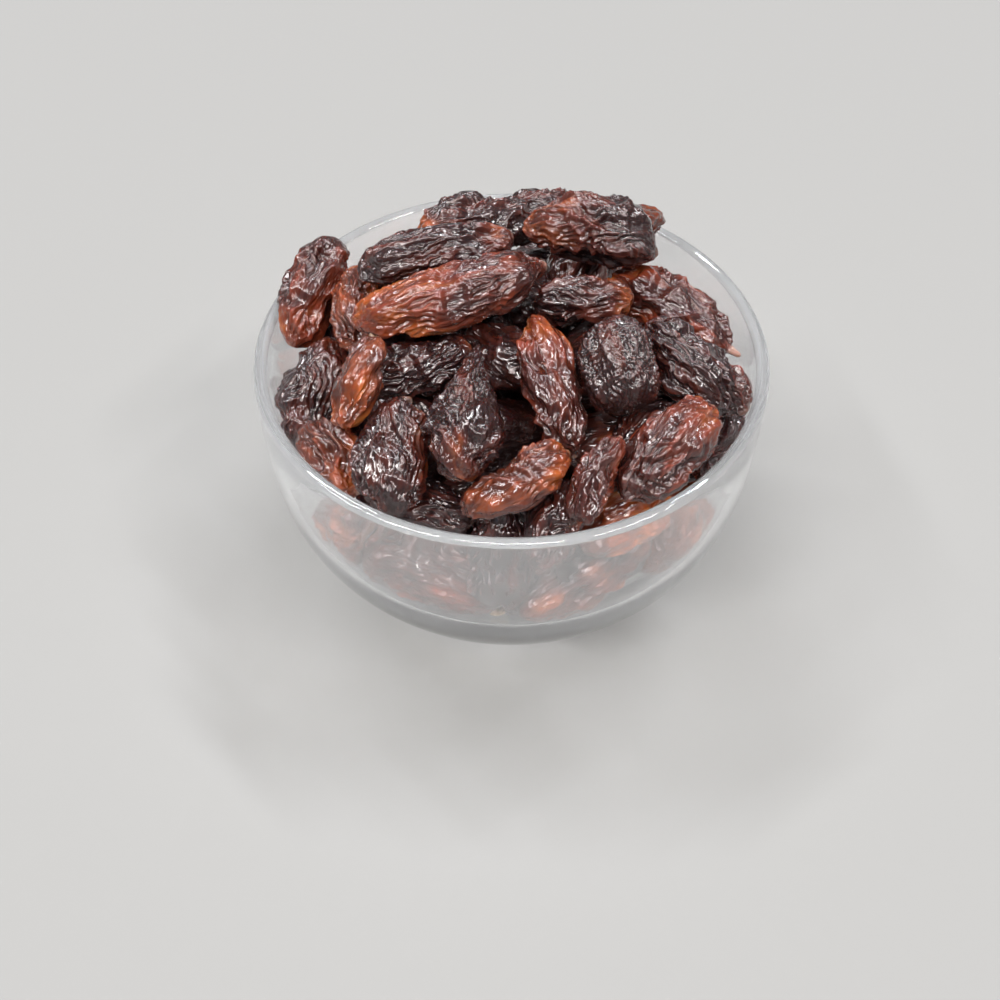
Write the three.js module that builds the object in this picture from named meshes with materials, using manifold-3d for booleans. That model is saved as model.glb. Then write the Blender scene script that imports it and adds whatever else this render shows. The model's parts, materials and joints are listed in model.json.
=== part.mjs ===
// A small round glass bowl heaped with jumbo Thompson raisins.
// Millimetres, +Z up. The origin is the middle of the bowl's base, and -Y faces the viewer.
import * as THREE from 'three';
import { mergeVertices } from 'three/addons/utils/BufferGeometryUtils.js';
import Module from 'manifold-3d';

const wasm = await Module();
wasm.setup();

// The bowl is one piece of pressed clear glass, with a rounded rim and a thick base
const bowl = {
  rimRadius: 35,
  height: 38,
  wall: 1.8,
  baseThickness: 4.2,
  outerDepth: 46,
  outerFullness: 3.85,
  innerFullness: 4.5,
  footRadius: 12,
  footTurn: 30.5,
  footSteps: 3,
  sides: 44,
  outerSteps: 10,
  innerSteps: 12,
  rimSteps: 4,
};

// What a raisin's skin keeps to on its way out from the middle
const skin = {
  squareness: 2.3,
  spineMiddle: 0.33,
  contactGap: 0.055,
  coreGap: 0.11,
  stuckLap: 0.12,
  glassGap: 0.35,
  furrowDepth: 0.75,
  furrowSway: 0.3,
  deepestShare: 0.3,
  lobes: 0.12,
  valley: 0.24,
  valleyWidth: 0.45,
  coreShare: 0.55,
  reach: 1.35,
  marchSteps: 14,
  halvings: 12,
};

// How many sides and bands a raisin is cut into, finest where it shows most
const cuts = { top: [16, 8], under: [12, 7], wall: [12, 7], core: [8, 5] };

// How the heap settles
const settling = {
  mobility: { top: 0.5, under: 0.8, wall: 1, core: 1 },
  rounds: 260,
  squeeze: 0.86,
  beadPlaces: [-0.6, 0, 0.6],
  endBeadShare: 0.82,
  sink: 0.003,
  homePull: 0.12,
  pushShare: 0.35,
  glassLift: 0.2,
  swell: { top: 1, under: 1.05, wall: 1.05, core: 1.14 },
};

// The cap stem's stub, and the loose bit of stem in front: all its points are inside the glass
const capStem = { length: 4, tipRadius: 0.45, rootRadius: 0.75, rootDepth: 2, sides: 6 };
const stemBit = {
  radius: 0.6,
  clearance: 0.9,
  points: [[-2.4, -25.2, 11.6], [-1.2, -23.8, 10.1], [-0.8, -21.4, 8.7], [-1.4, -19, 7.8]],
};

// Where the reference picture was taken from. The open face keeps the outlines that it has from there.
const viewpoint = new THREE.Vector3(-1.5, -134, 160);

const degrees = Math.PI / 180;
const seeds = { open: 40, under: 90, ring: 500, places: 2026 };
const glassColour = 0xe6eef0;
const stemColour = 0x6b4a30;
const toneColours = { raisin_dark: 0x22120f, raisin_red: 0x4a1710, raisin_amber: 0x8a3a14 };

const dark = 'raisin_dark';
const red = 'raisin_red';
const amber = 'raisin_amber';

// One raisin placed by hand. at: its middle; turn: yaw, pitch and roll in degrees; size: length, width and
// thickness; bend: how far its ends sag sideways; taper: how much it narrows towards its right end;
// stub: 1 or -1 for the end that keeps its cap stem.
function lies(at, turn, size, bend, taper, tone, stub = 0) {
  return { at, turn, size, bend, taper, tone, stub, cluster: null };
}

// The raisins of the heap's open face: those on top, then the left side, the middle, the right and the front
const openFace = [
  lies([-8, 0, 47], [16, 7, 10], [27, 10.5, 9], 1.2, 0, red),
  lies([-10, 8, 47], [17, 5, 0], [22, 9.5, 8.5], 0.6, 0.12, dark),
  lies([-5, 17.5, 44.6], [22, 0, 20], [18.5, 10, 8.5], -1.2, 0.1, dark),
  lies([4, 23, 42], [16, 0, 0], [16, 9.5, 8.5], 0.5, 0, dark),
  lies([11, 12.5, 48], [-14, -3, 0], [18.5, 11.8, 10], -0.8, -0.08, dark),
  lies([15.5, 20.5, 41.5], [30, -5, 0], [16, 9, 8], 0.6, 0.15, amber),
  lies([9.5, 4.5, 42.5], [7, 0, 0], [14.5, 8, 8], 1.5, 0, dark),
  lies([-27.5, 8, 40.5], [-110, -24, 0], [17.5, 9.5, 8.5], 0.9, 0.12, red),
  lies([-27, -6, 35], [-106, -15, -15], [17, 10.5, 8.5], -0.8, 0, dark),
  lies([-21.5, 6, 39], [-87, -9, 0], [15, 7.5, 7.5], 0.5, 0.1, amber),
  lies([-20, -8.5, 39.5], [-112, -28, 0], [13.2, 6.6, 6.2], -0.6, -0.15, amber),
  lies([-12.5, -4, 38], [24, 4, 0], [16, 9.5, 8.5], 0, 0, dark),
  lies([-5.6, -15, 41], [-95, -17, 0], [20, 11, 9], 0.5, -0.4, dark),
  lies([5, -12, 42.5], [-74, -21, 0], [20, 9, 7.5], 0.9, -0.16, red),
  lies([13.5, -7.5, 41.5], [87, 30, 0], [13, 12.2, 9], 0, 0.05, dark),
  lies([21.8, 3.8, 41.4], [-34, -12, 10], [19, 10.5, 8.5], -1, 0.12, red, 1),
  lies([23.6, -6.6, 39.3], [-45, -18, 0], [18, 10.5, 8.5], 1.4, 0, dark),
  lies([28, -13.5, 34], [-107, -25, 0], [15, 8, 7.5], 0.5, 0, dark),
  lies([20.5, -19.5, 37.5], [-130, -18, 0], [17.5, 11, 8.5], -0.8, 0.08, red),
  lies([19, -11, 34.5], [-138, -6, 0], [15, 8.5, 8], 0.4, 0, dark),
  lies([0.5, -24.5, 37.5], [25, 13, -20], [16, 8, 7.5], 0.8, -0.2, amber),
  lies([-1.5, -28, 29.5], [-96, -57, 0], [15.5, 11, 7.5], 0, 0.05, dark),
  lies([-10, -25, 33.5], [-15, -8, -25], [14.5, 9, 8], 0.6, 0, dark),
  lies([-15.5, -19.5, 36.5], [-96, -25, 0], [16, 10.8, 8.5], 0.6, -0.1, dark),
  lies([-23, -17.5, 34.5], [-50, 0, 30], [13.5, 9, 8], 0.4, 0.1, amber),
  lies([10.5, -22, 35.5], [-123, -30, 0], [12.5, 6.8, 6.3], 0.5, -0.15, red),
  lies([5.5, -26, 31.5], [60, 35, 0], [13, 8, 7.5], 0.3, 0, dark),
  lies([14, -25.5, 32], [27, 8, -30], [14.5, 8.5, 7.5], 0.5, 0.1, amber),
];

// Raisins that lie just under the open face and show in the gaps between the others
const underFace = [
  lies([12, -13.5, 34], [19, 0, 0], [16, 9.5, 8.5], 0.6, 0, dark),
  lies([-13.5, -10, 34.5], [-60, -10, 0], [16, 9.5, 8.5], -0.5, 0, dark),
  lies([-1, -3, 37], [-40, -10, 0], [16, 9.5, 8.5], 0.5, 0, dark),
  lies([10, 13.5, 39.2], [70, 0, 40], [19, 11, 10], 0.8, 0.1, red),
  lies([-3, 12, 38.4], [-30, 0, 0], [19, 11, 10], -0.8, 0, dark),
  lies([-14, 14.5, 38.6], [40, 0, 70], [18.5, 10.5, 9.5], 0.6, 0.1, red),
];

// A ring of raisins round the bowl's axis, between two angles. One with a cluster's name is stuck together.
function ring(cluster, count, radius, height, [firstAngle, lastAngle], size) {
  return { place: cluster ? 'core' : 'wall', cluster, count, radius, height, firstAngle, lastAngle, size };
}

// The rest lie against the glass, or out of sight in the core, where they are stuck in two clusters
const rings = [
  ring(null, 6, 27.8, 31, [-14, 194], [21, 11, 9.5]),
  ring(null, 9, 27.5, 22.5, [-112, 208], [20, 11, 9.5]),
  ring(null, 7, 22.5, 14, [-118, 190], [20, 11, 9.5]),
  ring('upper', 2, 5, 34, [30, 210], [18, 11, 10]),
  ring('upper', 5, 14, 33, [0, 288], [18, 11, 10]),
  ring('upper', 1, 21.5, 34.5, [16, 16], [16, 10, 9]),
  ring('upper', 1, 12, 37.5, [-14, -14], [15, 10, 9]),
  ring('upper', 3, 6, 26.5, [60, 300], [18, 11, 10]),
  ring('upper', 6, 16.5, 26, [20, 320], [18, 11, 10]),
  ring('lower', 3, 6, 18, [0, 240], [18, 11, 10]),
  ring('lower', 6, 16, 18, [50, 350], [18, 11, 10]),
  ring('lower', 5, 11.5, 9.5, [-90, 198], [17, 11, 9]),
  ring('lower', 1, 0.5, 9.5, [0, 0], [14, 11, 9]),
];
const ringJitter = { angle: 5, height: 1.2, tilt: 22, size: 0.08, wallRoll: 60, bend: 0.8, taper: 0.15 };
const ringTones = [dark, red, dark, amber, dark];

// A repeatable stream of numbers from 0 to 1
function randomStream(seed) {
  let state = seed >>> 0;
  return () => {
    state = (state + 0x6d2b79f5) >>> 0;
    let mixed = Math.imul(state ^ (state >>> 15), 1 | state);
    mixed = (mixed + Math.imul(mixed ^ (mixed >>> 7), 61 | mixed)) ^ mixed;
    return ((mixed ^ (mixed >>> 14)) >>> 0) / 4294967296;
  };
}

// The glass's outer and inner radius at a height, each a full curve that draws in towards the base
function outerRadius(height) {
  const depth = Math.max(bowl.height - height, 0) / bowl.outerDepth;
  return bowl.rimRadius * (1 - depth ** bowl.outerFullness);
}

function innerRadius(height) {
  const depth = Math.max(bowl.height - height, 0) / (bowl.height - bowl.baseThickness);
  return (bowl.rimRadius - bowl.wall) * Math.sqrt(Math.max(1 - depth ** bowl.innerFullness, 0));
}

function bowlMesh() {
  const bead = bowl.wall / 2;
  const outline = [new THREE.Vector2(0, 0)];
  const footTurn = bowl.footTurn * degrees;
  const flatRadius = outerRadius(0) - bowl.footRadius * Math.tan(footTurn / 2);
  for (let step = 0; step <= bowl.footSteps; step++) {
    const turn = (step / bowl.footSteps) * footTurn;
    const reach = flatRadius + bowl.footRadius * Math.sin(turn);
    outline.push(new THREE.Vector2(reach, bowl.footRadius * (1 - Math.cos(turn))));
  }
  for (let step = 2; step < bowl.outerSteps; step++) {
    const height = bowl.height * (step / bowl.outerSteps) ** 1.5;
    outline.push(new THREE.Vector2(outerRadius(height), height));
  }
  for (let step = 0; step <= bowl.rimSteps; step++) {
    const turn = (step / bowl.rimSteps) * Math.PI;
    const rise = bowl.height - bead + bead * Math.sin(turn);
    outline.push(new THREE.Vector2(bowl.rimRadius - bead + bead * Math.cos(turn), rise));
  }
  for (let step = bowl.innerSteps - 1; step > 0; step--) {
    const turn = (step / bowl.innerSteps) * (Math.PI / 2);
    const depth = (bowl.height - bowl.baseThickness) * Math.cos(turn) ** (2 / bowl.innerFullness);
    outline.push(new THREE.Vector2((bowl.rimRadius - bowl.wall) * Math.sin(turn), bowl.height - depth));
  }
  outline.push(new THREE.Vector2(0, bowl.baseThickness));
  const glass = new THREE.MeshStandardMaterial({
    color: glassColour, roughness: 0.05, metalness: 0, transparent: true, opacity: 0.35,
  });
  const mesh = new THREE.Mesh(new THREE.LatheGeometry(outline, bowl.sides), glass);
  mesh.name = 'bowl';
  mesh.rotation.x = Math.PI / 2;
  return mesh;
}

// A raisin as a set of sizes, a place and a turn, with the lumps that its seed gives it
function raisin(place, number, spec, seed) {
  const draw = randomStream(seed);
  const [yaw, pitch, roll] = spec.turn.map((angle) => angle * degrees);
  const turn = new THREE.Euler(roll, -pitch, yaw, 'ZYX');
  const centre = new THREE.Vector3(...spec.at);
  const facing = new THREE.Quaternion().setFromEuler(turn);
  const lumps = Array.from({ length: 8 }, () => draw() * 2 - 1);
  return {
    place, draw, lumps, centre, facing, spec,
    mobility: settling.mobility[place],
    name: `raisin_${place}_${String(number).padStart(2, '0')}`,
    home: centre.clone(),
    homeFacing: facing.clone(),
    half: spec.size.map((size) => size / 2),
  };
}

// The sideways sag of a raisin's spine at a share of its half length, from -1 to 1
function sag(item, along) {
  return item.spec.bend * (along * along - skin.spineMiddle);
}

function toWorld(item, x, y, z) {
  return new THREE.Vector3(x, y, z).applyQuaternion(item.facing).add(item.centre);
}

// How far out a point lies in a raisin: 0 at its middle and 1 on its skin
function outwardness(item, point) {
  const local = point.clone().sub(item.centre).applyQuaternion(item.facing.clone().conjugate());
  const [halfLength, halfWidth, halfThickness] = item.half;
  const x = local.x / halfLength;
  const narrowing = Math.max(1 - item.spec.taper * x, 0.4);
  const y = (local.y - sag(item, Math.max(-1, Math.min(1, x)))) / (halfWidth * narrowing);
  const z = local.z / (halfThickness * narrowing);
  const [a, b, c, d, e, f, g, h] = item.lumps;
  const spread = Math.sqrt(y * y + z * z + 0.1);
  const sideways = y / spread;
  const upward = z / spread;
  const leaning = a * sideways * Math.sin(3.2 * x + 3 * b) + c * upward * Math.sin(2.6 * x + 3 * d);
  const flattening = e * (sideways ** 2 - upward ** 2) * Math.cos(2.2 * x + 3 * f);
  const towards = sideways * Math.cos(3 * g) + upward * Math.sin(3 * g);
  const across = upward * Math.cos(3 * g) - sideways * Math.sin(3 * g) + 0.25 * Math.sin(2.4 * x + 3 * h);
  const trough = Math.exp(-((across / skin.valleyWidth) ** 2)) * Math.max(1 - x * x, 0);
  const unevenness = skin.lobes * (leaning + flattening) + skin.valley * Math.max(towards, 0) * trough;
  const power = skin.squareness;
  return (Math.abs(x) ** power + Math.hypot(y, z) ** power) ** (1 / power) * (1 + unevenness);
}

// How far a point has gone past the clear space inside the glass, in millimetres
function pastGlass(point) {
  const reach = Math.hypot(point.x, point.y);
  if (point.z > bowl.height) return -1;
  return Math.max(reach + skin.glassGap - innerRadius(point.z), bowl.baseThickness + skin.glassGap - point.z);
}

// How far a point has come into the clear space round the loose bit of stem, in millimetres
function intoStemBit(point) {
  const ends = stemBit.points.map((end) => new THREE.Vector3(...end));
  const nearest = new THREE.Vector3();
  let least = Infinity;
  for (let index = 1; index < ends.length; index++) {
    new THREE.Line3(ends[index - 1], ends[index]).closestPointToPoint(point, true, nearest);
    least = Math.min(least, nearest.distanceTo(point));
  }
  return stemBit.radius + stemBit.clearance - least;
}

// What keeps two raisins' skins apart, as a share of their size, or laps them where they are stuck together
function clearance(item, other) {
  if (item.spec.cluster && other.spec.cluster === item.spec.cluster) return -skin.stuckLap;
  return item.spec.cluster || other.spec.cluster ? skin.coreGap : skin.contactGap;
}

// Above 0 once a point has left the raisin, met a neighbour half way, or met the glass
function overshoot(item, neighbours, point) {
  const own = outwardness(item, point);
  let most = Math.max(own - 1, pastGlass(point), intoStemBit(point));
  for (const other of neighbours) {
    most = Math.max(most, own + clearance(item, other) - outwardness(other, point));
  }
  return most;
}

// The first point on the way from inner to outer where the raisin's skin has to lie
function skinPoint(item, neighbours, inner, outer) {
  let low = 0;
  let high = 1;
  for (let step = 1; step <= skin.marchSteps; step++) {
    const share = step / skin.marchSteps;
    if (overshoot(item, neighbours, inner.clone().lerp(outer, share)) > 0) {
      high = share;
      break;
    }
    low = share;
  }
  for (let halving = 0; halving < skin.halvings; halving++) {
    const middle = (low + high) / 2;
    if (overshoot(item, neighbours, inner.clone().lerp(outer, middle)) > 0) high = middle;
    else low = middle;
  }
  return low;
}

// A raisin's solid: a ball drawn out to its skin, with every other meridian sunk as a furrow of its own depth
function raisinMesh(item, neighbours) {
  const [sides, bands] = cuts[item.place];
  const geometry = new THREE.SphereGeometry(1, sides, bands);
  const places = geometry.getAttribute('position');
  const [halfLength, halfWidth, halfThickness] = item.half;
  const waves = Array.from({ length: sides }, () => item.draw() * 2 - 1);
  for (let index = 0; index < places.count; index++) {
    const along = places.getY(index);
    const radial = Math.sqrt(Math.max(1 - along * along, 0));
    const meridian = index % (sides + 1) % sides;
    const wave = waves[meridian];
    const twist = skin.furrowSway * Math.sin(2.2 * along + 4 * item.lumps[0]);
    const ownSway = (skin.furrowSway / 2) * Math.sin(4 * along + 9 * wave);
    const angle = (meridian / sides) * 2 * Math.PI + (radial > 0.01 ? twist + ownSway : 0);
    const inner = toWorld(item, skin.coreShare * along * halfLength, sag(item, skin.coreShare * along), 0);
    const outer = toWorld(
      item,
      skin.reach * along * halfLength,
      sag(item, along) + skin.reach * radial * Math.cos(angle) * halfWidth,
      skin.reach * radial * Math.sin(angle) * halfThickness,
    );
    const share = skinPoint(item, neighbours, inner, outer);
    const fading = Math.min(radial * 1.4, 1) * (1 + 0.3 * Math.sin(5 * along + 7 * wave));
    const depth = skin.furrowDepth * (0.75 + 0.45 * wave) * fading;
    const isFurrow = radial > 0.01 && meridian % 2 === 1;
    const sunk = isFurrow ? Math.min(depth / inner.distanceTo(outer), share * skin.deepestShare) : 0;
    const point = inner.lerp(outer, share - sunk);
    places.setXYZ(index, point.x, point.y, point.z);
  }
  geometry.computeVertexNormals();
  const colour = toneColours[item.spec.tone];
  const flesh = new THREE.MeshStandardMaterial({ color: colour, roughness: 0.4, metalness: 0 });
  const mesh = new THREE.Mesh(geometry, flesh);
  mesh.name = item.name;
  return mesh;
}

// The dry stub of the cap stem that some raisins keep at one end, rooted well inside it
function stubbed(item, geometry) {
  const { length, tipRadius, rootRadius, rootDepth, sides } = capStem;
  const end = item.spec.stub * (item.half[0] - rootDepth + length / 2);
  const stub = new THREE.CylinderGeometry(tipRadius, rootRadius, length, sides);
  stub.rotateZ((-item.spec.stub * Math.PI) / 2);
  stub.translate(end, sag(item, item.spec.stub), 0);
  stub.applyQuaternion(item.facing);
  stub.translate(...item.centre.toArray());
  return fuse([geometry, stub]);
}

// The loose bit of dried stem that lies against the glass low in front
function stemBitMesh() {
  const path = new THREE.CatmullRomCurve3(stemBit.points.map((point) => new THREE.Vector3(...point)));
  const section = new THREE.Shape();
  section.absarc(0, 0, stemBit.radius, 0, 2 * Math.PI);
  const cut = { extrudePath: path, steps: 6, curveSegments: 3, bevelEnabled: false };
  const geometry = new THREE.ExtrudeGeometry(section, cut);
  const dry = new THREE.MeshStandardMaterial({ color: stemColour, roughness: 0.8, metalness: 0 });
  const mesh = new THREE.Mesh(geometry, dry);
  mesh.name = 'stem_bit';
  return mesh;
}

// The raisins of the rings, each turned along its ring and tilted a little by a seeded draw
function ringRaisins() {
  const draw = randomStream(seeds.places);
  const around = () => draw() * 2 - 1;
  const made = [];
  const counts = { wall: 0, core: 0 };
  for (const { place, cluster, count, radius, height, firstAngle, lastAngle, size } of rings) {
    const angleStep = (lastAngle - firstAngle) / Math.max(count - 1, 1);
    for (let index = 0; index < count; index++) {
      const angle = firstAngle + index * angleStep + around() * ringJitter.angle;
      const grow = 1 + around() * ringJitter.size;
      const x = radius * Math.cos(angle * degrees);
      const y = radius * Math.sin(angle * degrees);
      const z = height + around() * ringJitter.height;
      const yaw = angle + 90 + around() * ringJitter.tilt;
      const pitch = around() * ringJitter.tilt;
      const roll = place === 'wall' ? ringJitter.wallRoll : around() * 90;
      const grown = size.map((one) => one * grow);
      const bend = around() * ringJitter.bend;
      const taper = around() * ringJitter.taper;
      const tone = ringTones[made.length % ringTones.length];
      const spec = { ...lies([x, y, z], [yaw, pitch, roll], grown, bend, taper, tone), cluster };
      counts[place] += 1;
      made.push(raisin(place, counts[place], spec, seeds.ring + made.length));
    }
  }
  return made;
}

// The balls that stand for a raisin while the heap settles
function beads(item) {
  const [halfLength, halfWidth, halfThickness] = item.half;
  return settling.beadPlaces.map((place) => ({
    centre: toWorld(item, place * halfLength, sag(item, place), 0),
    radius: ((halfWidth + halfThickness) / 2) * (place === 0 ? 1 : settling.endBeadShare) * settling.squeeze,
  }));
}

// Moves a raisin by a push at one of its beads, and turns it as the push would
function shove(item, bead, push) {
  const arm = bead.clone().sub(item.centre);
  const spin = arm.cross(push).divideScalar(item.half[0] ** 2);
  item.centre.addScaledVector(push, item.mobility);
  const angle = spin.length() * item.mobility;
  if (angle > 1e-6) item.facing.premultiply(new THREE.Quaternion().setFromAxisAngle(spin.normalize(), angle));
}

// Pushes a raisin back inside the glass where one of its beads has gone through it
function keepInGlass(item) {
  for (const { centre, radius } of beads(item)) {
    const reach = Math.hypot(centre.x, centre.y) || 1e-6;
    const low = bowl.baseThickness + skin.glassGap + radius - centre.z;
    if (low > 0) shove(item, centre, new THREE.Vector3(0, 0, low));
    const room = centre.z > bowl.height ? Infinity : innerRadius(centre.z - radius / 2) - skin.glassGap;
    const out = reach + radius - room;
    const inwards = new THREE.Vector3(-centre.x / reach, -centre.y / reach, settling.glassLift);
    if (out > 0) shove(item, centre, inwards.multiplyScalar(out));
  }
}

function pushApart(one, other) {
  if (one.centre.distanceTo(other.centre) > one.half[0] + other.half[0]) return;
  for (const a of beads(one)) {
    for (const b of beads(other)) {
      const between = a.centre.clone().sub(b.centre);
      const overlap = a.radius + b.radius - between.length();
      if (overlap <= 0) continue;
      between.normalize().multiplyScalar(overlap * settling.pushShare);
      shove(one, a.centre, between);
      shove(other, b.centre, between.clone().negate());
    }
  }
}

// Lets the raisins push each other into place. Those of the open face sink only along the line of sight.
function settle(items) {
  for (let round = 0; round < settling.rounds; round++) {
    items.forEach((item, index) => items.slice(index + 1).forEach((other) => pushApart(item, other)));
    for (const item of items) {
      if (item.mobility < 1) {
        const sight = item.home.clone().sub(viewpoint).normalize();
        const astray = item.centre.clone().sub(item.home);
        astray.addScaledVector(sight, -astray.dot(sight));
        item.centre.addScaledVector(astray, -settling.homePull).addScaledVector(sight, settling.sink);
        item.facing.slerp(item.homeFacing, settling.homePull);
      } else {
        item.centre.z -= settling.sink;
      }
      keepInGlass(item);
      item.facing.normalize();
    }
  }
}

// A mesh's triangles as a solid that can be joined to others
function asSolid(geometry) {
  const bare = new THREE.BufferGeometry();
  bare.setAttribute('position', geometry.getAttribute('position').clone());
  bare.setIndex(geometry.getIndex());
  const merged = mergeVertices(bare, 1e-3);
  const vertProperties = new Float32Array(merged.getAttribute('position').array);
  const triVerts = new Uint32Array(merged.getIndex().array);
  return new wasm.Manifold(new wasm.Mesh({ numProp: 3, vertProperties, triVerts }));
}

// One body made of several that overlap, with any hollow that the joining closed filled in
function fuse(geometries) {
  const joined = geometries.map(asSolid).reduce((whole, next) => whole.add(next));
  const largest = joined.decompose().reduce((best, next) => (next.volume() > best.volume() ? next : best));
  const { vertProperties, triVerts } = largest.getMesh();
  const geometry = new THREE.BufferGeometry();
  geometry.setAttribute('position', new THREE.BufferAttribute(vertProperties, 3));
  geometry.setIndex(new THREE.BufferAttribute(triVerts, 1));
  return geometry;
}

function buildBowlOfRaisins() {
  const open = openFace.map((spec, index) => raisin('top', index + 1, spec, seeds.open + index));
  const under = underFace.map((spec, index) => raisin('under', index + 1, spec, seeds.under + index));
  const items = [...open, ...under, ...ringRaisins()];
  settle(items);
  for (const item of items) item.half = item.half.map((half) => half * settling.swell[item.place]);
  const group = new THREE.Group();
  group.add(bowlMesh());
  const clusters = new Map();
  for (const item of items) {
    const neighbours = items.filter(
      (other) => other !== item && other.centre.distanceTo(item.centre) < other.half[0] + item.half[0] + 2,
    );
    const mesh = raisinMesh(item, neighbours);
    const { cluster, stub } = item.spec;
    if (stub) mesh.geometry = stubbed(item, mesh.geometry);
    if (!cluster) group.add(mesh);
    else clusters.set(cluster, [...(clusters.get(cluster) ?? []), mesh]);
  }
  for (const [cluster, meshes] of clusters) {
    const mesh = new THREE.Mesh(fuse(meshes.map((each) => each.geometry)), meshes[0].material);
    mesh.name = `raisins_core_${cluster}`;
    group.add(mesh);
  }
  group.add(stemBitMesh());
  return group;
}

export default buildBowlOfRaisins();
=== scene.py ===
import json
import math

import bmesh
import bpy
import numpy as np
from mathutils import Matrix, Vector


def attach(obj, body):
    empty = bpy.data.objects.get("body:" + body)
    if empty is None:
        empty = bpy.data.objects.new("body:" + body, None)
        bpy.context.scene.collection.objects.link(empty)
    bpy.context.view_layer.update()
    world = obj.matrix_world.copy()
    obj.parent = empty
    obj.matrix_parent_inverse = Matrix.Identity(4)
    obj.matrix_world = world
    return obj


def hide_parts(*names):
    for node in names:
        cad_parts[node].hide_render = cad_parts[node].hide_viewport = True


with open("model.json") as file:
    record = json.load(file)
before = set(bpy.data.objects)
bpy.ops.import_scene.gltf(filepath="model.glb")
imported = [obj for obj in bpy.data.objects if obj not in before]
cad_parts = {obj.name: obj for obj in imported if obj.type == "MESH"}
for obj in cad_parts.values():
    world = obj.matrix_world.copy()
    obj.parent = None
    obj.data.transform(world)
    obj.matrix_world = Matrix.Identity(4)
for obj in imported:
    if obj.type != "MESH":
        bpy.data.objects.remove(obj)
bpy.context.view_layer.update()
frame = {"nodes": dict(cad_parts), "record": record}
mm = 0.001
scene = bpy.context.scene


# The camera looks along +Y and down at the bowl, from about 0.2 m away
lens_mm = 47.63
nearest_seen = 0.01
camera_place = Vector((-1.54, -133.95, 160.15)) * mm
look_down = math.radians(49.0)

camera_data = bpy.data.cameras.new("camera")
camera_data.lens = lens_mm
camera_data.clip_start = nearest_seen
camera = bpy.data.objects.new("camera", camera_data)
camera.location = camera_place
camera.rotation_euler = (math.pi / 2 - look_down, 0, 0)
scene.collection.objects.link(camera)
scene.camera = camera


# The floor: a wide, plain, matt sheet in a pale warm grey
floor_size = 3.6
floor_colour = (0.305, 0.30, 0.292, 1)
floor_mottle = 0.015


def new_object(name, mesh):
    """An object at the origin for a finished mesh."""
    made = bpy.data.objects.new(name, mesh)
    scene.collection.objects.link(made)
    return made


def new_material(name):
    """An empty material and its node tree."""
    made = bpy.data.materials.new(name)
    made.use_nodes = True
    made.node_tree.nodes.clear()
    return made, made.node_tree


def add(tree, kind, **values):
    """A node of that kind, with each value on the input of that name, or else on the node itself."""
    node = tree.nodes.new(kind)
    sockets = {socket.name.lower().replace(" ", "_"): socket for socket in reversed(node.inputs)}
    for name, value in values.items():
        if name in sockets:
            sockets[name].default_value = value
        else:
            setattr(node, name, value)
    return node


bm = bmesh.new()
bmesh.ops.create_grid(bm, x_segments=1, y_segments=1, size=floor_size / 2)
floor_mesh = bpy.data.meshes.new("floor")
bm.to_mesh(floor_mesh)
bm.free()
floor = new_object("floor", floor_mesh)

floor_material, tree = new_material("floor_matt")
surface = add(tree, "ShaderNodeBsdfPrincipled", roughness=0.85)
output = add(tree, "ShaderNodeOutputMaterial")
place = add(tree, "ShaderNodeTexCoord")
mottle = add(tree, "ShaderNodeTexNoise", scale=9.0, detail=4.0)
shade = add(tree, "ShaderNodeMix", data_type="RGBA")
shade.inputs["A"].default_value = floor_colour
shade.inputs["B"].default_value = tuple(c * (1 - floor_mottle) for c in floor_colour[:3]) + (1,)
tree.links.new(place.outputs["Object"], mottle.inputs["Vector"])
tree.links.new(mottle.outputs["Fac"], shade.inputs["Factor"])
tree.links.new(shade.outputs["Result"], surface.inputs["Base Color"])
tree.links.new(surface.outputs["BSDF"], output.inputs["Surface"])
floor_mesh.materials.append(floor_material)


# The light: a soft pale sky all round, and five long narrow softboxes in a ring high above the bowl
sky_colour = (0.90, 0.92, 0.96, 1)
sky_strength = 0.24
softbox_width = 0.085
# name, place and length in metres, watts, colour
softboxes = [
    ("softbox_front", (-0.30, -0.90, 1.80), 1.8, 37, (1.0, 0.985, 0.96)),
    ("softbox_right", (1.02, -0.66, 1.38), 0.9, 13, (1.0, 0.98, 0.97)),
    ("softbox_left", (-1.08, -0.30, 1.32), 0.9, 9, (0.97, 0.98, 1.0)),
    ("softbox_back_left", (-0.60, 0.81, 1.50), 0.9, 13, (0.95, 0.97, 1.0)),
    ("softbox_back_right", (0.72, 0.72, 1.56), 0.9, 16, (0.95, 0.97, 1.0)),
]

sky = bpy.data.worlds.new("sky")
sky.use_nodes = True
sky.node_tree.nodes["Background"].inputs["Color"].default_value = sky_colour
sky.node_tree.nodes["Background"].inputs["Strength"].default_value = sky_strength
scene.world = sky
for name, place, length, watts, colour in softboxes:
    light = bpy.data.lights.new(name, "AREA")
    light.shape = "RECTANGLE"
    light.size = length
    light.size_y = softbox_width
    light.energy = watts
    light.color = colour
    lamp = bpy.data.objects.new(name, light)
    lamp.location = place
    lamp.rotation_euler = (-Vector(place)).to_track_quat("-Z", "Y").to_euler()
    scene.collection.objects.link(lamp)
scene.view_settings.view_transform = "Standard"

# Light runs round inside a glass wall many times before it leaves, so the paths are let run long
scene.cycles.max_bounces = 48
scene.cycles.transmission_bounces = 48
scene.cycles.glossy_bounces = 12


# The bowl is pressed in one piece from clear soda glass. A small share of pale diffuse white in it is
# painted haze, standing in for reflections of the bright surroundings.
# Its rim was melted round after pressing, its wall is even, and its base is thick. It stands on its foot.
rim_radius = 35.0
bowl_height = 38.0
wall = 1.8
base_thickness = 4.2
foot_radius = 12.0
foot_turn = math.radians(30.5)
outer_depth = 46
outer_power = 3.85
inner_power = 4.5
bowl_sides = 192
foot_steps = 8
wall_steps = 30
first_wall_step = 7
wall_crowding = 1.4
rim_steps = 20
inner_steps = 36


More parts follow.
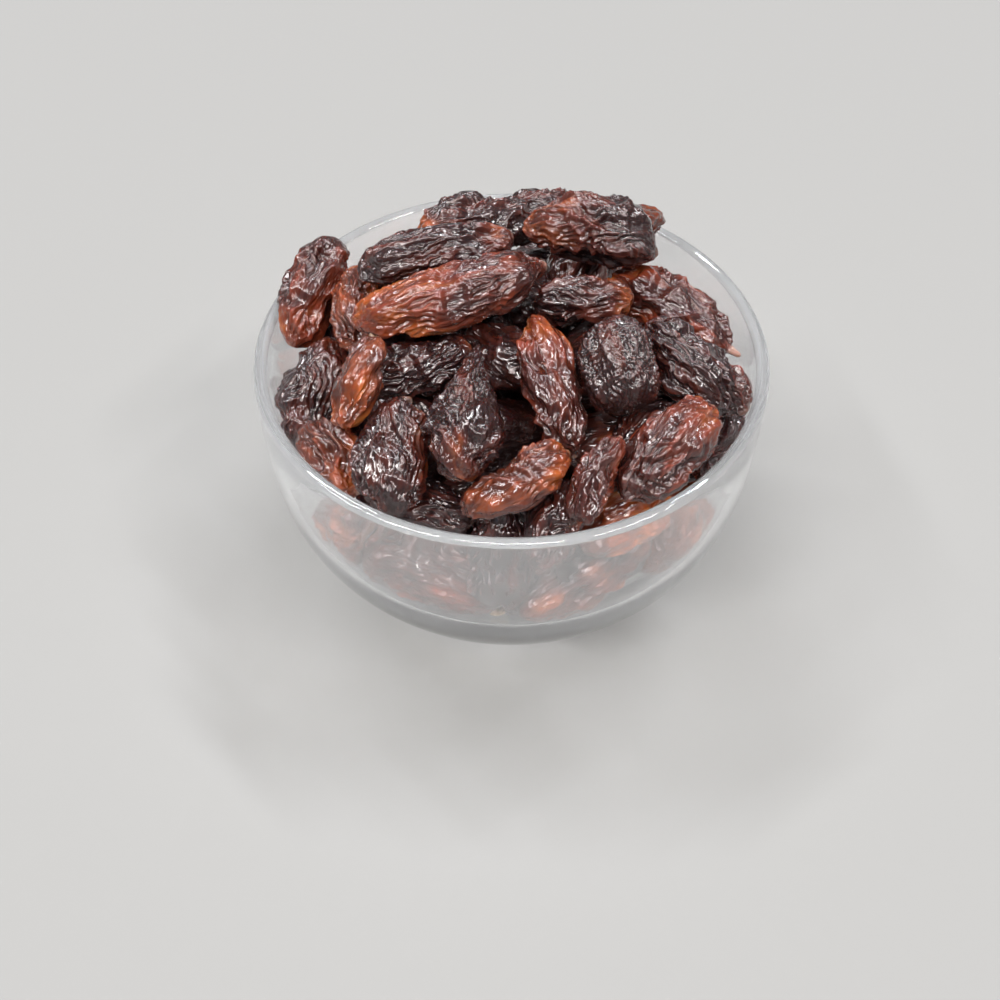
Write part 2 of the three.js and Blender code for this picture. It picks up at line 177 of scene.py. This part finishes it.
def outer_radius(height):
    """The outside of the wall: upright at the rim, and turning in faster and faster below it."""
    return rim_radius * (1 - (max(bowl_height - height, 0) / outer_depth) ** outer_power)


bead = wall / 2
flat_radius = outer_radius(0) - foot_radius * math.tan(foot_turn / 2)
outline = [(0, 0)]
for step in range(foot_steps + 1):
    turn = foot_turn * step / foot_steps
    outline.append((flat_radius + foot_radius * math.sin(turn), foot_radius * (1 - math.cos(turn))))
for step in range(first_wall_step, wall_steps):
    height = (bowl_height - bead) * (step / wall_steps) ** wall_crowding
    outline.append((outer_radius(height), height))
for step in range(rim_steps + 1):
    turn = math.pi * step / rim_steps
    across = rim_radius - bead + bead * math.cos(turn)
    outline.append((across, bowl_height - bead + bead * math.sin(turn)))
for step in range(inner_steps - 1, 0, -1):
    turn = math.pi / 2 * step / inner_steps
    depth = (bowl_height - base_thickness) * math.cos(turn) ** (2 / inner_power)
    outline.append(((rim_radius - wall) * math.sin(turn), bowl_height - depth))
outline.append((0, base_thickness))

bm = bmesh.new()
ring = [bm.verts.new((radius * mm, 0, height * mm)) for radius, height in outline]
edges = [bm.edges.new(pair) for pair in zip(ring, ring[1:])]
bmesh.ops.spin(
    bm,
    geom=ring + edges,
    cent=(0, 0, 0),
    axis=(0, 0, 1),
    dvec=(0, 0, 0),
    angle=2 * math.pi,
    steps=bowl_sides,
    use_merge=True,
    use_normal_flip=False,
    use_duplicate=False,
)
bmesh.ops.remove_doubles(bm, verts=bm.verts, dist=0.001 * mm)
bmesh.ops.recalc_face_normals(bm, faces=bm.faces)
for face in bm.faces:
    face.smooth = True
bowl_mesh = bpy.data.meshes.new("glass_bowl")
bm.to_mesh(bowl_mesh)
bm.free()
glass_bowl = new_object("glass_bowl", bowl_mesh)

glass, tree = new_material("clear_glass")
clear = add(
    tree,
    "ShaderNodeBsdfPrincipled",
    base_color=(0.975, 0.982, 0.985, 1),
    roughness=0.02,
    ior=1.5,
    # Transmission below 1 leaves a share of pale diffuse white: painted haze and painted reflection over the
    # whole bowl
    transmission_weight=0.89,
)
passing = add(tree, "ShaderNodeBsdfTransparent", color=(0.985, 0.99, 1.0, 1))
ray = add(tree, "ShaderNodeLightPath")
choose = add(tree, "ShaderNodeMixShader")
output = add(tree, "ShaderNodeOutputMaterial")
tree.links.new(ray.outputs["Is Shadow Ray"], choose.inputs["Fac"])
tree.links.new(clear.outputs["BSDF"], choose.inputs[1])
tree.links.new(passing.outputs["BSDF"], choose.inputs[2])
tree.links.new(choose.outputs["Shader"], output.inputs["Surface"])
bowl_mesh.materials.append(glass)
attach(glass_bowl, "root")
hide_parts("bowl")


# The raisins' skins: thin, tough and a little sticky over soft flesh that has shrunk. As it dried, the skin
# buckled into ridges that run along the fruit, wander, branch and meet in a pucker at each end. Where the
# flesh is thin, as at the ends, light comes through it red and amber. That glow is painted into the colour
# on one side of each raisin, mixed with its own amber tone, as well as made by light under the skin.
tiny = 1e-9
full_turn = 2 * math.pi


def unit(vectors):
    """The same directions with a length of 1."""
    return vectors / np.maximum(np.linalg.norm(vectors, axis=-1, keepdims=True), tiny)


def swell(points, spacing, draw):
    """A smooth chance height at each point, about -1 to 1, with hills about that far apart."""
    waves = 8
    shortest, longest = 0.75, 1.5
    fullness = 1.2
    total = np.zeros(len(points))
    for _ in range(waves):
        heading = unit(draw.normal(size=3))
        pitch = full_turn / (spacing * draw.uniform(shortest, longest))
        total += np.sin(points @ heading * pitch + draw.uniform(0, full_turn))
    return total * fullness / math.sqrt(waves)


def step_up(values, low, high):
    """0 below low, 1 above high, and smooth between."""
    share = np.clip((values - low) / (high - low), 0, 1)
    return share * share * (3 - 2 * share)


def ridges(points, normals, axis, spacing, wander, crowd, draw):
    """Skin buckled into ridges along the axis: 0 in a hollow and 1 on a narrow crest, at each point.

    Small patches of parallel waves stand on the skin, each fading with distance. Their starts are shifted in
    a few rounds until neighbours agree. Where they still disagree, ridges branch and end.
    """
    warp, warp_spacing = 0.22 * spacing, 2.6 * spacing
    stray_spacing = 4.5 * spacing
    reach = 0.95 * spacing
    rounds, settling = 12, 0.5
    cell, far = 5 * reach, 3 * reach
    cell_code = (1, 1000, 1000000)
    firmness = 3.5
    level, bluntness, steepness, top = 0.45, 0.02, 0.99, 0.12

    warped = points.copy()
    for side in range(3):
        warped[:, side] += warp * swell(points, warp_spacing, draw)
    along = unit(axis - (normals @ axis)[:, None] * normals)
    across = np.cross(normals, along)
    stray = wander * swell(points, stray_spacing, draw)[:, None]
    crossing = across * np.cos(stray) + along * np.sin(stray)
    picks = draw.choice(len(points), min(crowd, len(points)), replace=False)
    centres = warped[picks]
    waves = crossing[picks] * 2 * math.pi / spacing
    offsets = np.einsum("ij,ij->i", centres, waves)
    gaps = (centres**2).sum(1)[:, None] + (centres**2).sum(1) - 2 * centres @ centres.T
    pull = np.exp(gaps / (-2 * reach**2) + 1j * (centres @ waves.T - offsets))
    np.fill_diagonal(pull, 0)
    starts = draw.uniform(0, full_turn, len(picks))
    for _ in range(rounds):
        starts += settling * np.angle(pull @ np.exp(1j * starts) * np.exp(-1j * starts))

    # Each cell of space looks only at the patches near it, which keeps the work small
    height = np.zeros(len(points), np.float32)
    cells = np.floor(warped / cell).astype(int) @ cell_code
    order = np.argsort(cells, kind="stable")
    for some in np.split(order, np.flatnonzero(np.diff(cells[order])) + 1):
        here = warped[some]
        centre = (here.min(0) + here.max(0)) / 2
        near = (np.abs(centres - centre) < np.ptp(here, 0) / 2 + far).all(1)
        gaps = ((here[:, None, :] - centres[near]) ** 2).sum(2)
        weights = np.exp(gaps / (-2 * reach**2))
        total = (weights * np.exp(1j * (here @ waves[near].T + (starts - offsets)[near]))).sum(1)
        firm = np.clip(firmness * np.abs(total) / (weights.sum(1) + tiny), 0, 1)
        turn = np.abs(np.sin(np.angle(total) / 2))
        height[some] = level + firm * (1 - np.sqrt(turn**2 + bluntness) * steepness + top - level)
    return height


def drop_specks(mesh):
    """Takes out the tiny loose bubbles that an even net can leave inside a solid."""
    bm = bmesh.new()
    bm.from_mesh(mesh)
    left = set(bm.verts)
    parts = []
    while left:
        reached = [left.pop()]
        part = list(reached)
        while reached:
            vert = reached.pop()
            for edge in vert.link_edges:
                other = edge.other_vert(vert)
                if other in left:
                    left.remove(other)
                    part.append(other)
                    reached.append(other)
        parts.append(part)
    parts.sort(key=len)
    specks = [vert for part in parts[:-1] for vert in part]
    if specks:
        bmesh.ops.delete(bm, geom=specks, context="VERTS")
        bm.to_mesh(mesh)
    bm.free()


def smooth_copy(node, name, grid):
    """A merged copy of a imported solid, rounded off and cut into an even net of that size."""
    bm = bmesh.new()
    bm.from_mesh(frame["nodes"][node].data)
    bmesh.ops.remove_doubles(bm, verts=bm.verts, dist=0.01 * mm)
    bmesh.ops.recalc_face_normals(bm, faces=bm.faces)
    merged = bpy.data.meshes.new(name)
    bm.to_mesh(merged)
    bm.free()
    carrier = new_object(name, merged)
    rounding = carrier.modifiers.new("rounding", "SUBSURF")
    rounding.levels = rounding.render_levels = 2
    net = carrier.modifiers.new("net", "REMESH")
    net.mode = "VOXEL"
    net.voxel_size = grid * mm
    net.use_smooth_shade = True
    seen = carrier.evaluated_get(bpy.context.evaluated_depsgraph_get())
    made = bpy.data.meshes.new_from_object(seen)
    made.name = name
    bpy.data.objects.remove(carrier)
    bpy.data.meshes.remove(merged)
    drop_specks(made)
    return made


def wrinkle(mesh, look, seed):
    """Buckles a smooth raisin's skin, and writes down how it lies, for the colours."""
    fine_crowd, most_patches = 1.4, 1300
    broad_step, broad_wander, broad_crowd = 2.7, 1.5, 2.0
    tight_spacing, dent_spacing, amber_glow_spacing = 7.0, 5.5, 5.0
    tight_from, tight_span, tight_shift = -1.3, 1.0, 1.6
    calm_from, calm_share = 0.6, 0.5
    least_depth, least_folds = 0.22, 0.55
    dents_from, dents_full = 0.15, 1.3
    pinch_from, narrow_from = 0.7, -0.3
    scar_edge, amber_glow_edge, amber_glow_drift = 0.04, 0.9, 0.25
    grain_stretch, grain_spread = 0.33, 50

    draw = np.random.default_rng(seed)
    count = len(mesh.vertices)
    flat = np.empty(count * 3)
    mesh.vertices.foreach_get("co", flat)
    points = flat.reshape(-1, 3) / mm
    mesh.vertex_normals.foreach_get("vector", flat)
    normals = flat.reshape(-1, 3).copy()
    middle = points.mean(0)
    local = points - middle
    thin_way, wide_way, long_way = np.linalg.eigh(local.T @ local / count)[1].T
    axis = long_way * np.sign(long_way[0] or 1)
    lengthwise = local @ axis
    extent = np.abs(lengthwise).max()
    area = sum(face.area for face in mesh.polygons) / mm**2

    # Fine ridges on broad folds, tight in some places and slack in others, and calmer near the ends
    spacing = look["spacing"]
    crowd = int(min(area / spacing**2 * fine_crowd, most_patches))
    fine = ridges(points, normals, axis, spacing, look["wander"], crowd, draw)
    broad_spacing = broad_step * spacing
    crowd = int(area / broad_spacing**2 * broad_crowd)
    broad = ridges(points, normals, axis, broad_spacing, look["wander"] * broad_wander, crowd, draw)
    slack_to = tight_from + tight_shift * look["smooth"]
    tight = step_up(swell(points, tight_spacing, draw), slack_to, slack_to + tight_span)
    endward = np.abs(lengthwise / extent)
    calm = 1 - calm_share * step_up(endward, calm_from, 1.0)
    ease = (least_depth + (1 - least_depth) * tight) * calm
    sunk = look["folds"] * (1 - broad) * (least_folds + (1 - least_folds) * tight) * calm
    sunk += look["depth"] * (1 - fine) * ease
    sunk += look["dents"] * step_up(swell(points, dent_spacing, draw), dents_from, dents_full)
    sunk += look["pinch"] * step_up(endward, pinch_from, 1.0)

    # The dry scar, where the fruit hung from its stalk, doesn't sink
    scar = step_up(lengthwise / lengthwise.max(), look["scar_from"], look["scar_from"] + scar_edge)
    moved = points - normals * ((sunk - look["lift"]) * (1 - scar))[:, None]
    narrow_way = unit(np.array(look["narrow_side"], float))
    narrowing = look["narrow"] * step_up(local @ narrow_way / extent, narrow_from, 1.0)
    spine = middle + lengthwise[:, None] * axis
    moved += (spine - moved) * narrowing[:, None]
    mesh.vertices.foreach_set("co", (moved * mm).ravel())

    # The side painted lighter and more amber, as painted light through the thin flesh there, mixed with the
    # raisin's own amber tone
    amber_glow_way = unit(np.array(look["amber_glow_side"], float))
    toward_amber_glow = local @ amber_glow_way / np.abs(local @ amber_glow_way).max()
    toward_amber_glow += amber_glow_drift * swell(points, amber_glow_spacing, draw)
    amber_glow = step_up(toward_amber_glow, look["amber_glow_from"], look["amber_glow_from"] + amber_glow_edge)
    crest = fine * ease + (1 - ease) / 2
    grain = np.stack([lengthwise * grain_stretch, local @ wide_way, local @ thin_way], 1)
    grain += draw.uniform(0, grain_spread, 3)
    for title, kind, field, values in (
        ("amber_glow", "FLOAT", "value", amber_glow),
        ("crest", "FLOAT", "value", crest),
        ("hollow", "FLOAT", "value", 1 - broad),
        ("scar", "FLOAT", "value", scar),
        ("grain", "FLOAT_VECTOR", "vector", grain),
    ):
        kept = mesh.attributes.new(title, kind, "POINT")
        kept.data.foreach_set(field, values.astype(np.float32).ravel())
    mesh.shade_smooth()
    mesh.update()


# A skin's colours, with painted glow, sheen and shade, and its roughness and finest relief, from how it lies
skin_effect = bpy.data.node_groups.new("raisin_skin", "ShaderNodeTree")
for title, kind, way in (
    ("Deep", "NodeSocketColor", "INPUT"),
    ("Flesh", "NodeSocketColor", "INPUT"),
    ("Thin", "NodeSocketColor", "INPUT"),
    ("Bloom_and_sheen", "NodeSocketColor", "INPUT"),
    ("Dry", "NodeSocketColor", "INPUT"),
    ("Color", "NodeSocketColor", "OUTPUT"),
    ("Roughness", "NodeSocketFloat", "OUTPUT"),
    ("Height", "NodeSocketFloat", "OUTPUT"),
):
    skin_effect.interface.new_socket(title, in_out=way, socket_type=kind)
patches_scale, crinkle_scale, net_scale = 0.32, 1.4, 1.9
net_stray = 0.45
patches_from, patches_full, patches_share = 0.42, 0.68, 0.75
flesh_from, flesh_full = 0.1, 0.9
thin_from, thin_full = 0.85, 1.9
bloom_and_sheen_share = 0.17
overall_painted_shade, hollow_painted_shade, crest_painted_light = 0.35, 0.35, 0.35
sheen, patches_dulling, scar_dulling = 0.08, 0.24, 0.5
crinkle_share = 0.4

tree = skin_effect
given = add(tree, "NodeGroupInput")
result = add(tree, "NodeGroupOutput")
amber_glow, crest, hollow, scar, grain = (
    add(tree, "ShaderNodeAttribute", attribute_name=title)
    for title in ("amber_glow", "crest", "hollow", "scar", "grain")
)
patches = add(tree, "ShaderNodeTexNoise", scale=patches_scale, detail=3.0, roughness=0.6)
crinkle = add(
    tree,
    "ShaderNodeTexNoise",
    noise_type="RIDGED_MULTIFRACTAL",
    normalize=False,
    scale=crinkle_scale,
    detail=3.0,
    roughness=0.5,
    distortion=0.5,
)
net = add(
    tree,
    "ShaderNodeTexVoronoi",
    feature="SMOOTH_F1",
    smoothness=0.1,
    scale=net_scale,
    randomness=1.0,
)
for texture in (patches, crinkle):
    tree.links.new(grain.outputs["Vector"], texture.inputs["Vector"])
stray = add(tree, "ShaderNodeVectorMath", operation="MULTIPLY_ADD")
stray.inputs[1].default_value = (net_stray, net_stray, net_stray)
tree.links.new(crinkle.outputs["Color"], stray.inputs[0])
tree.links.new(grain.outputs["Vector"], stray.inputs[2])
tree.links.new(stray.outputs["Vector"], net.inputs["Vector"])


def blend(tree, share, first, second, kind="MIX"):
    """A mix of two colours, each a socket or a value, by a share."""
    node = add(tree, "ShaderNodeMix", data_type="RGBA", blend_type=kind)
    for name, value in (("Factor", share), ("A", first), ("B", second)):
        socket = next(s for s in node.inputs if s.name == name and s.enabled)
        if isinstance(value, bpy.types.NodeSocket):
            tree.links.new(value, socket)
        else:
            socket.default_value = value
    return next(s for s in node.outputs if s.enabled)


def sum_up(tree, operation, first, second):
    """One sum on two numbers, each a socket or a value."""
    node = add(tree, "ShaderNodeMath", operation=operation)
    for socket, value in zip(node.inputs, (first, second)):
        if isinstance(value, bpy.types.NodeSocket):
            tree.links.new(value, socket)
        else:
            socket.default_value = value
    return node.outputs[0]


def ramp(tree, value, low, high):
    """0 to 1 as a number goes from low to high."""
    node = add(tree, "ShaderNodeMapRange", interpolation_type="SMOOTHSTEP", from_min=low, from_max=high)
    tree.links.new(value, node.inputs["Value"])
    return node.outputs["Result"]


# Painted glow: the colour goes from Deep through Flesh to Thin where light is taken to come through, on the
# glow side and in random paler patches
patch = ramp(tree, patches.outputs["Fac"], patches_from, patches_full)
patchy = sum_up(tree, "MULTIPLY", patch, patches_share)
lit_through = sum_up(tree, "ADD", amber_glow.outputs["Fac"], patchy)
flesh_share = ramp(tree, lit_through, flesh_from, flesh_full)
fleshy = blend(tree, flesh_share, given.outputs["Deep"], given.outputs["Flesh"])
thin_share = ramp(tree, lit_through, thin_from, thin_full)
thinned = blend(tree, thin_share, fleshy, given.outputs["Thin"])
# The crests' dusty bloom, which is also painted sheen
bloom_and_sheen_mask = sum_up(tree, "MULTIPLY", crest.outputs["Fac"], bloom_and_sheen_share)
bloomed_and_sheened = blend(tree, bloom_and_sheen_mask, thinned, given.outputs["Bloom_and_sheen"])
# Painted shade: the colour is darker overall and more so in the hollows of the broad folds, with painted
# light on the crests
shadow = sum_up(tree, "ADD", sum_up(tree, "MULTIPLY", hollow.outputs["Fac"], hollow_painted_shade), overall_painted_shade)
shadow = sum_up(tree, "SUBTRACT", shadow, sum_up(tree, "MULTIPLY", crest.outputs["Fac"], crest_painted_light))
shaded = blend(tree, 1.0, bloomed_and_sheened, sum_up(tree, "SUBTRACT", 1.0, shadow), "MULTIPLY")
tree.links.new(blend(tree, scar.outputs["Fac"], shaded, given.outputs["Dry"]), result.inputs["Color"])
roughness = sum_up(tree, "ADD", sum_up(tree, "MULTIPLY", patches.outputs["Fac"], patches_dulling), sheen)
roughness = sum_up(tree, "ADD", roughness, sum_up(tree, "MULTIPLY", scar.outputs["Fac"], scar_dulling))
tree.links.new(roughness, result.inputs["Roughness"])
crinkled = sum_up(tree, "MULTIPLY", crinkle.outputs["Fac"], crinkle_share)
tree.links.new(sum_up(tree, "ADD", net.outputs["Distance"], crinkled), result.inputs["Height"])

# Each kind of raisin, from its thickest flesh to its thinnest with its painted glow, with its crests' dusty
# bloom and painted sheen, and its dry scar
skin_colours = {
    "raisin_dark": {
        "Deep": (0.030, 0.0080, 0.0072, 1),
        "Flesh": (0.112, 0.0200, 0.0105, 1),
        "Thin": (0.44, 0.098, 0.015, 1),
        "Bloom_and_sheen": (0.125, 0.062, 0.062, 1),
        "Dry": (0.15, 0.075, 0.052, 1),
    },
    "raisin_red": {
        "Deep": (0.070, 0.0125, 0.008, 1),
        "Flesh": (0.240, 0.039, 0.013, 1),
        "Thin": (0.58, 0.140, 0.017, 1),
        "Bloom_and_sheen": (0.18, 0.078, 0.070, 1),
        "Dry": (0.36, 0.21, 0.165, 1),
    },
    "raisin_amber": {
        "Deep": (0.125, 0.022, 0.009, 1),
        "Flesh": (0.390, 0.076, 0.014, 1),
        "Thin": (0.68, 0.180, 0.020, 1),
        "Bloom_and_sheen": (0.28, 0.13, 0.095, 1),
        "Dry": (0.38, 0.23, 0.15, 1),
    },
}
skins = {}
for kind, colours in skin_colours.items():
    skins[kind], tree = new_material(kind)
    effect = add(tree, "ShaderNodeGroup", node_tree=skin_effect)
    for name, value in colours.items():
        effect.inputs[name].default_value = value
    relief = add(tree, "ShaderNodeBump", strength=0.95, distance=0.27 * mm)
    flesh = add(
        tree,
        "ShaderNodeBsdfPrincipled",
        subsurface_weight=0.5,
        subsurface_radius=(1.0, 0.28, 0.12),
        subsurface_scale=1.3 * mm,
        coat_weight=0.7,
        coat_roughness=0.06,
        ior=1.55,
        specular_tint=(1.0, 0.90, 0.90, 1),
    )
    output = add(tree, "ShaderNodeOutputMaterial")
    tree.links.new(effect.outputs["Height"], relief.inputs["Height"])
    tree.links.new(effect.outputs["Color"], flesh.inputs["Base Color"])
    tree.links.new(effect.outputs["Roughness"], flesh.inputs["Roughness"])
    tree.links.new(relief.outputs["Normal"], flesh.inputs["Normal"])
    tree.links.new(flesh.outputs["BSDF"], output.inputs["Surface"])


# The raisins of the open face. Each lies loose on its neighbours, held by its weight and some stickiness.
# Its ridges, folds and dents and the side painted lighter and more amber, as if light came through it, are
# its own. Lengths are in millimetres, the two _side keys are directions, and the two _from keys say how far
# along a look begins.
usual = {
    "spacing": 0.82,
    "wander": 0.45,
    "depth": 0.45,
    "folds": 0.6,
    "dents": 0.75,
    "pinch": 0.35,
    "lift": 0.42,
    "smooth": 0.4,
    "amber_glow_side": (1, 0, 0),
    "amber_glow_from": 0.6,
    "scar_from": 0.965,
    "narrow": 0.0,
    "narrow_side": (0, 1, 0),
}
own_looks = {
    "raisin_top_01": {
        "spacing": 0.68,
        "wander": 0.25,
        "folds": 0.35,
        "depth": 0.42,
        "amber_glow_side": (-1, -0.3, -0.2),
        "amber_glow_from": -0.45,
    },
    "raisin_top_02": {
        "spacing": 0.8,
        "wander": 0.2,
        "folds": 0.5,
        "amber_glow_side": (1, 0.3, 0),
        "amber_glow_from": 0.25,
    },
    "raisin_top_03": {"amber_glow_side": (-1, -0.3, 0), "amber_glow_from": 0.0, "folds": 0.8},
    "raisin_top_05": {"spacing": 0.9, "folds": 0.8, "amber_glow_side": (-1, -0.3, 0.3), "amber_glow_from": -0.15},
    "raisin_top_07": {"amber_glow_side": (1, -0.3, 0), "amber_glow_from": 0.1},
    "raisin_top_08": {
        "spacing": 1.0,
        "smooth": 0.7,
        "folds": 0.8,
        "amber_glow_side": (-0.3, -1, -0.5),
        "amber_glow_from": -0.05,
    },
    "raisin_top_09": {"amber_glow_side": (0.3, 1, 0), "amber_glow_from": 0.3},
    "raisin_top_11": {"smooth": 0.8, "amber_glow_side": (0, -1, 0), "amber_glow_from": 0.1},
    "raisin_top_13": {
        "spacing": 0.85,
        "folds": 0.8,
        "wander": 0.7,
        "amber_glow_side": (0, -1, -0.6),
        "amber_glow_from": 0.15,
        "narrow": 0.55,
        "scar_from": 0.99,
        "narrow_side": (0.2, 1, 0.3),
    },
    "raisin_top_14": {
        "spacing": 0.95,
        "wander": 0.4,
        "folds": 0.8,
        "depth": 0.4,
        "amber_glow_side": (0, 1, 0.2),
        "amber_glow_from": -0.2,
    },
    "raisin_top_15": {
        "spacing": 0.65,
        "wander": 0.9,
        "folds": 0.3,
        "dents": 0.3,
        "amber_glow_from": 0.8,
        "scar_from": 0.995,
    },
    "raisin_top_16": {
        "spacing": 1.0,
        "folds": 0.9,
        "amber_glow_side": (-1, 0.6, 0),
        "amber_glow_from": 0.0,
        "scar_from": 0.83,
    },
    "raisin_top_17": {"spacing": 0.8, "wander": 0.3, "folds": 0.9, "amber_glow_from": 0.4},
    "raisin_top_19": {"spacing": 0.85, "amber_glow_side": (0.5, 1, 0.5), "amber_glow_from": 0.2},
    "raisin_top_21": {"spacing": 0.9, "smooth": 0.3, "amber_glow_side": (1, 0, 0), "amber_glow_from": 0.35},
    "raisin_top_24": {"spacing": 0.7, "wander": 0.3, "amber_glow_side": (1, 0.3, 0), "amber_glow_from": 0.25},
    "raisin_top_25": {"folds": 0.9, "amber_glow_side": (1, 0, 0), "amber_glow_from": 0.1},
    "raisin_top_28": {"smooth": 1.0, "depth": 0.3, "folds": 0.4, "amber_glow_from": -0.6},
}
face_grid = 0.2
face_seed = 100


def material_of(node):
    """The record's slot that a packed raisin's finish comes from."""
    subparts = frame["record"]["subparts"]
    return next(part["material_slot"] for part in subparts if part["node"] == node)


def dress(node, name, look, grid, seed):
    """One raisin or cluster in its finished skin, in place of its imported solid."""
    mesh = smooth_copy(node, name, grid)
    wrinkle(mesh, look, seed)
    mesh.materials.append(skins[material_of(node)])
    piece = new_object(name, mesh)
    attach(piece, "root")
    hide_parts(node)


raisin_nodes = sorted(node for node in frame["nodes"] if node.startswith("raisin_"))
for number, node in enumerate(node for node in raisin_nodes if "_top_" in node):
    look = usual | own_looks.get(node, {})
    dress(node, node.replace("raisin_top", "face_raisin"), look, face_grid, face_seed + number)


# The raisins just under the open face, those pressed against the glass, and the two stuck clusters in the
# middle. Their own weight presses them together, so they are swelled a little into the gaps. Against the
# glass the fruit is squeezed thin, and its outer side is painted lighter and more amber: painted light
# coming through.
lower_grid = 0.45
lower_seed = 200
lower_spacing = 1.25
under_lift, wall_lift, twig_lift = 1.0, 0.6, 0.15
amber_glow_starts = (-0.3, 0.3, 0.8, 0.0, 0.5)
beside_twig = ("raisin_wall_16", "raisin_wall_17")
for number, node in enumerate(node for node in raisin_nodes if "_top_" not in node):
    corners = [Vector(corner) for corner in frame["nodes"][node].bound_box]
    outward = sum(corners, Vector()) * Vector((1, 1, 0))
    lift = under_lift if "_under_" in node else twig_lift if node in beside_twig else wall_lift
    look = usual | {"spacing": lower_spacing, "amber_glow_side": tuple(outward), "lift": lift}
    # The outer side, against the glass, is painted lighter and more amber: painted light coming through
    look["amber_glow_from"] = amber_glow_starts[number % len(amber_glow_starts)]
    dress(node, node.replace("raisin_", "lower_raisin_"), look, lower_grid, lower_seed + number)

cluster_grid = 1.0
cluster_seed = 300
cluster_look = usual | {"spacing": 1.8}
for number, node in enumerate(("raisins_core_upper", "raisins_core_lower")):
    name = node.replace("raisins_core", "stuck_raisins")
    dress(node, name, cluster_look, cluster_grid, cluster_seed + number)


# The loose bit of dried stem, a broken twig of the bunch: fibrous and brown, and paler where the bark has
# come off. It fell in with the fruit, and lies low at the front between the raisins and the glass.
twig_grid = 0.09
twig_seed = 400
bark_colour = (0.20, 0.11, 0.06, 1)
bare_colour = (0.72, 0.52, 0.34, 1)
bark = {
    "spacing": 0.3,
    "wander": 0.2,
    "depth": 0.12,
    "folds": 0.15,
    "dents": 0.12,
    "pinch": -0.1,
    "lift": 0.3,
    "smooth": 0.0,
}
twig = smooth_copy("stem_bit", "dry_twig", twig_grid)
wrinkle(twig, usual | bark, twig_seed)
dry_stem, tree = new_material("dry_stem")
husk = add(tree, "ShaderNodeBsdfPrincipled", roughness=0.75)
output = add(tree, "ShaderNodeOutputMaterial")
worn = add(tree, "ShaderNodeAttribute", attribute_name="crest")
colour = blend(tree, worn.outputs["Fac"], bark_colour, bare_colour)
tree.links.new(colour, husk.inputs["Base Color"])
tree.links.new(husk.outputs["BSDF"], output.inputs["Surface"])
twig.materials.append(dry_stem)
dry_twig = new_object("dry_twig", twig)
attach(dry_twig, "root")
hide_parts("stem_bit")
